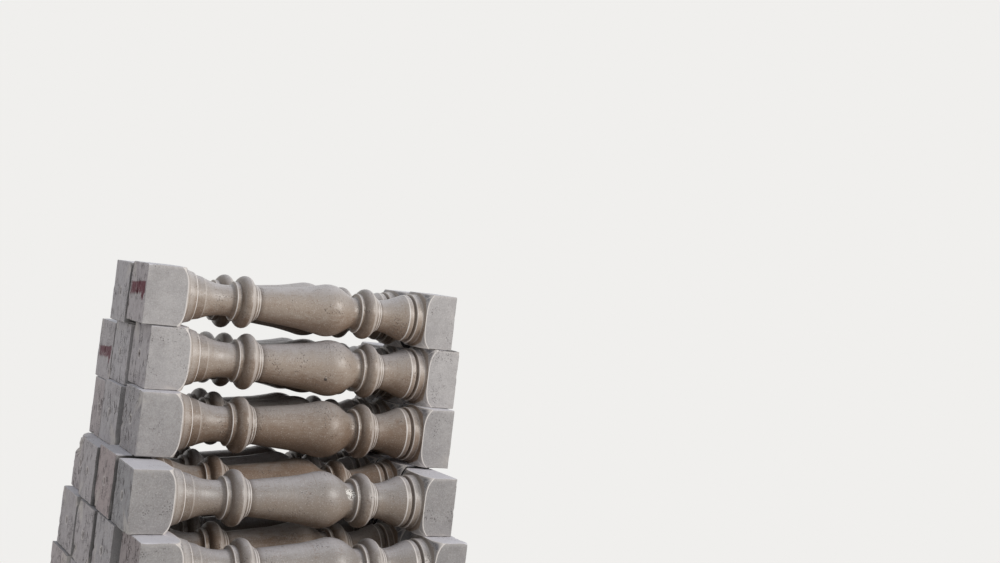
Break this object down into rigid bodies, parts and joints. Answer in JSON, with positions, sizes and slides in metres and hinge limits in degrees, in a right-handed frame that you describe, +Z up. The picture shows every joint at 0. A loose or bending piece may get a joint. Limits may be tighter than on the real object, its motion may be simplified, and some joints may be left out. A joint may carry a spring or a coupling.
{
  "type": "stack of turned stone balusters",
  "caption": "Dry-laid stack of turned stone balusters lying on their sides, square end block on square end block, stepped back at the top.",
  "frame": {"origin": "on the ground, in the middle of the stack's footprint box", "axes": "+X along the balusters from foot block to head block, +Y from the front of the stack to its back, +Z up"},
  "size_m": [0.7054, 0.575, 1.432],
  "materials": {
    "stone": "honed end blocks, lathe-turned shafts, rough-sawn ends"
  },
  "bodies": {
    "root": {"course_01_front_baluster": "stone", "course_01_second_baluster": "stone", "course_01_third_baluster": "stone", "course_01_fourth_baluster": "stone", "course_02_front_baluster": "stone", "course_02_second_baluster": "stone", "course_02_third_baluster": "stone", "course_02_fourth_baluster": "stone", "course_03_front_baluster": "stone", "course_03_second_baluster": "stone", "course_03_third_baluster": "stone", "course_03_fourth_baluster": "stone", "course_04_front_baluster": "stone", "course_04_second_baluster": "stone", "course_04_third_baluster": "stone", "course_04_fourth_baluster": "stone", "course_05_front_baluster": "stone", "course_05_second_baluster": "stone", "course_05_third_baluster": "stone", "course_05_fourth_baluster": "stone", "course_06_front_baluster": "stone", "course_06_second_baluster": "stone", "course_06_third_baluster": "stone", "course_06_fourth_baluster": "stone", "course_07_front_baluster": "stone", "course_07_second_baluster": "stone", "course_07_third_baluster": "stone", "course_07_fourth_baluster": "stone", "course_08_front_baluster": "stone", "course_08_second_baluster": "stone", "course_08_third_baluster": "stone", "course_08_fourth_baluster": "stone", "course_09_front_baluster": "stone", "course_09_second_baluster": "stone", "course_09_third_baluster": "stone", "course_09_fourth_baluster": "stone", "course_10_front_baluster": "stone", "course_10_second_baluster": "stone", "course_10_third_baluster": "stone", "course_11_front_baluster": "stone", "course_11_second_baluster": "stone", "course_11_third_baluster": "stone", "course_12_front_baluster": "stone", "course_12_second_baluster": "stone"}
  },
  "joints": []
}
